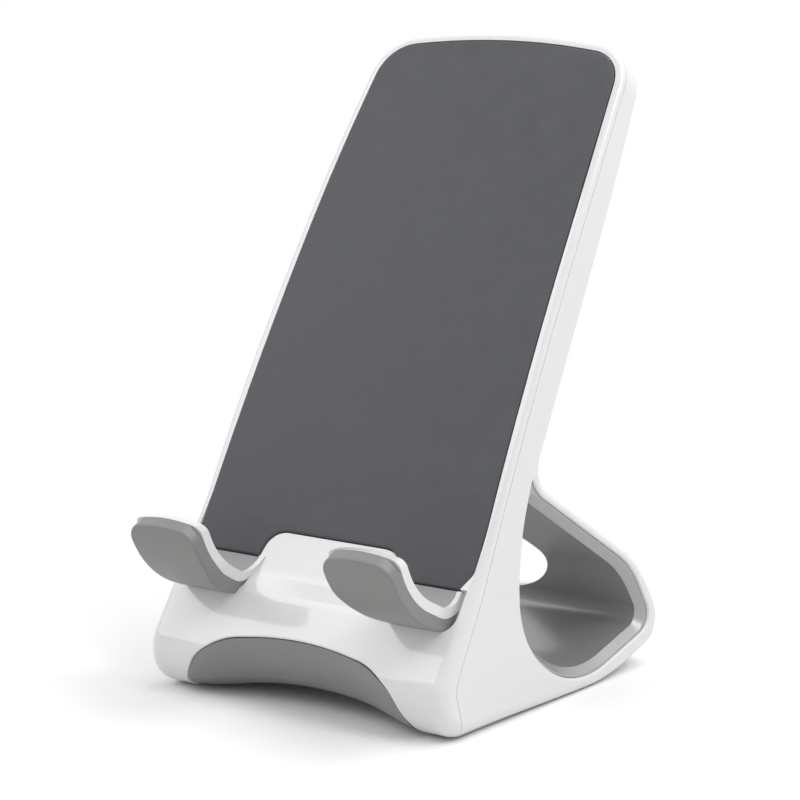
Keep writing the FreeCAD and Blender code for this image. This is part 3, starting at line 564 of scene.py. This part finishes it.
class HOLDER_OT_studio(bpy.types.Operator):
    """Makes the pale floor, the soft lights and the camera"""

    bl_idname = "holder.studio"
    bl_label = "Studio"

    def execute(self, context):
        looks = context.scene.holder_studio
        self.floor(context, looks)
        self.world(context, looks)
        self.lamps(context, looks)
        self.camera(context)
        return {"FINISHED"}

    def floor(self, context, looks):
        """Flat floor under the holder."""
        mesh = bpy.data.meshes.new("floor")
        shape = bmesh.new()
        bmesh.ops.create_grid(shape, x_segments=1, y_segments=1, size=FLOOR_REACH)
        shape.to_mesh(mesh)
        shape.free()
        mesh.materials.append(self.floor_paint(looks))
        floor = bpy.data.objects.new("floor", mesh)
        context.scene.collection.objects.link(floor)

    def floor_paint(self, looks):
        """Paint that shows the holder's shadow near the middle and plain white further out, and
        lights the holder as a pale floor does."""
        material = bpy.data.materials.new("floor_paint")
        material.use_nodes = True
        tree = material.node_tree
        tree.nodes.clear()
        out = add(tree, "ShaderNodeOutputMaterial")
        near = add(tree, "ShaderNodeBsdfDiffuse")
        near.inputs["Color"].default_value = WHITE
        far = add(tree, "ShaderNodeEmission")
        place = add(tree, "ShaderNodeTexCoord")
        distance = add(tree, "ShaderNodeVectorMath", operation="LENGTH")
        fade = add(tree, "ShaderNodeMapRange", interpolation_type="SMOOTHERSTEP")
        fade.inputs["From Min"].default_value = looks.white_from
        fade.inputs["From Max"].default_value = looks.white_at
        seen = add(tree, "ShaderNodeMixShader")
        join(tree, place.outputs["Object"], distance.inputs[0])
        join(tree, distance.outputs["Value"], fade.inputs["Value"])
        join(tree, fade.outputs["Result"], seen.inputs[0])
        join(tree, near.outputs[0], seen.inputs[1])
        join(tree, far.outputs[0], seen.inputs[2])
        lit = add(tree, "ShaderNodeBsdfDiffuse")
        lit.inputs["Color"].default_value = (*looks.floor, 1.0)
        mix = add(tree, "ShaderNodeMixShader")
        join(tree, sees_studio(tree), mix.inputs[0])
        join(tree, lit.outputs[0], mix.inputs[1])
        join(tree, seen.outputs[0], mix.inputs[2])
        join(tree, mix.outputs[0], out.inputs["Surface"])
        return material

    def world(self, context, looks):
        """Soft light from all around, and the white that shows behind the holder."""
        world = bpy.data.worlds.new("studio_air")
        context.scene.world = world
        world.use_nodes = True
        tree = world.node_tree
        tree.nodes.clear()
        out = add(tree, "ShaderNodeOutputWorld")
        lit = add(tree, "ShaderNodeBackground")
        lit.inputs["Color"].default_value = WHITE
        lit.inputs["Strength"].default_value = looks.daylight
        seen = add(tree, "ShaderNodeBackground")
        seen.inputs["Color"].default_value = WHITE
        mix = add(tree, "ShaderNodeMixShader")
        join(tree, sees_studio(tree), mix.inputs[0])
        join(tree, lit.outputs[0], mix.inputs[1])
        join(tree, seen.outputs[0], mix.inputs[2])
        join(tree, mix.outputs[0], out.inputs["Surface"])

    def lamps(self, context, looks):
        """The three square lamps."""
        self.lamp(context, "top_lamp", *TOP_LAMP, looks.top)
        self.lamp(context, "front_lamp", *FRONT_LAMP, looks.front)
        self.lamp(context, "side_lamp", *SIDE_LAMP, looks.side)

    def lamp(self, context, name, place, aim, width, watts):
        """One square lamp, turned to the point that it faces."""
        data = bpy.data.lights.new(name, "AREA")
        data.shape = "SQUARE"
        data.size = width
        data.energy = watts
        lamp = bpy.data.objects.new(name, data)
        lamp.location = place
        lamp.rotation_euler = (Vector(aim) - Vector(place)).to_track_quat("-Z", "Y").to_euler()
        context.scene.collection.objects.link(lamp)

    def camera(self, context):
        """Camera at the photograph's angle."""
        data = bpy.data.cameras.new("photo_camera")
        data.sensor_width = CAMERA_SENSOR
        data.lens = CAMERA_LENS
        camera = bpy.data.objects.new("photo_camera", data)
        camera.location = CAMERA_PLACE
        camera.rotation_euler = [math.radians(turn) for turn in CAMERA_TURNS]
        context.scene.collection.objects.link(camera)
        context.scene.camera = camera


class HOLDER_PT_panel(bpy.types.Panel):
    """Settings and pieces of the phone holder"""

    bl_label = "Phone Holder"
    bl_space_type = "VIEW_3D"
    bl_region_type = "UI"
    bl_category = "Phone Holder"

    def draw(self, context):
        """Lists the settings, and a button for each piece."""
        layout = self.layout
        for group in (context.scene.holder_plastics, context.scene.holder_pad,
                      context.scene.holder_studio):
            box = layout.box()
            for key in group.bl_rna.properties.keys():
                if key not in ("rna_type", "name"):
                    box.prop(group, key)
        for operator in OPERATORS:
            layout.operator(operator.bl_idname)


SETTINGS = (HolderPlastics, HolderPad, HolderStudio)
OPERATORS = (HOLDER_OT_white_shells, HOLDER_OT_hook_covers, HOLDER_OT_belly_panel,
             HOLDER_OT_tunnel_liner, HOLDER_OT_hook_shade_pads, HOLDER_OT_backrest_pad, HOLDER_OT_feet,
             HOLDER_OT_shell_screws, HOLDER_OT_pad_adhesive, HOLDER_OT_studio)


def register():
    """Makes the classes and settings known."""
    for kind in (*SETTINGS, *OPERATORS, HOLDER_PT_panel):
        bpy.utils.register_class(kind)
    bpy.types.Scene.holder_plastics = PointerProperty(type=HolderPlastics)
    bpy.types.Scene.holder_pad = PointerProperty(type=HolderPad)
    bpy.types.Scene.holder_studio = PointerProperty(type=HolderStudio)


def unregister():
    """Takes them away again."""
    del bpy.types.Scene.holder_studio
    del bpy.types.Scene.holder_pad
    del bpy.types.Scene.holder_plastics
    for kind in (HOLDER_PT_panel, *OPERATORS[::-1], *SETTINGS[::-1]):
        bpy.utils.unregister_class(kind)


def main():
    """Dresses the holder."""
    register()
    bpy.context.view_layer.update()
    bpy.context.scene.view_settings.view_transform = "Standard"
    bpy.ops.holder.white_shells()
    bpy.ops.holder.hook_covers()
    bpy.ops.holder.belly_panel()
    bpy.ops.holder.tunnel_liner()
    bpy.ops.holder.hook_pads()
    bpy.ops.holder.backrest_pad()
    bpy.ops.holder.feet()
    bpy.ops.holder.shell_screws()
    bpy.ops.holder.pad_adhesive()
    bpy.ops.holder.studio()


if __name__ == "__main__":
    main()
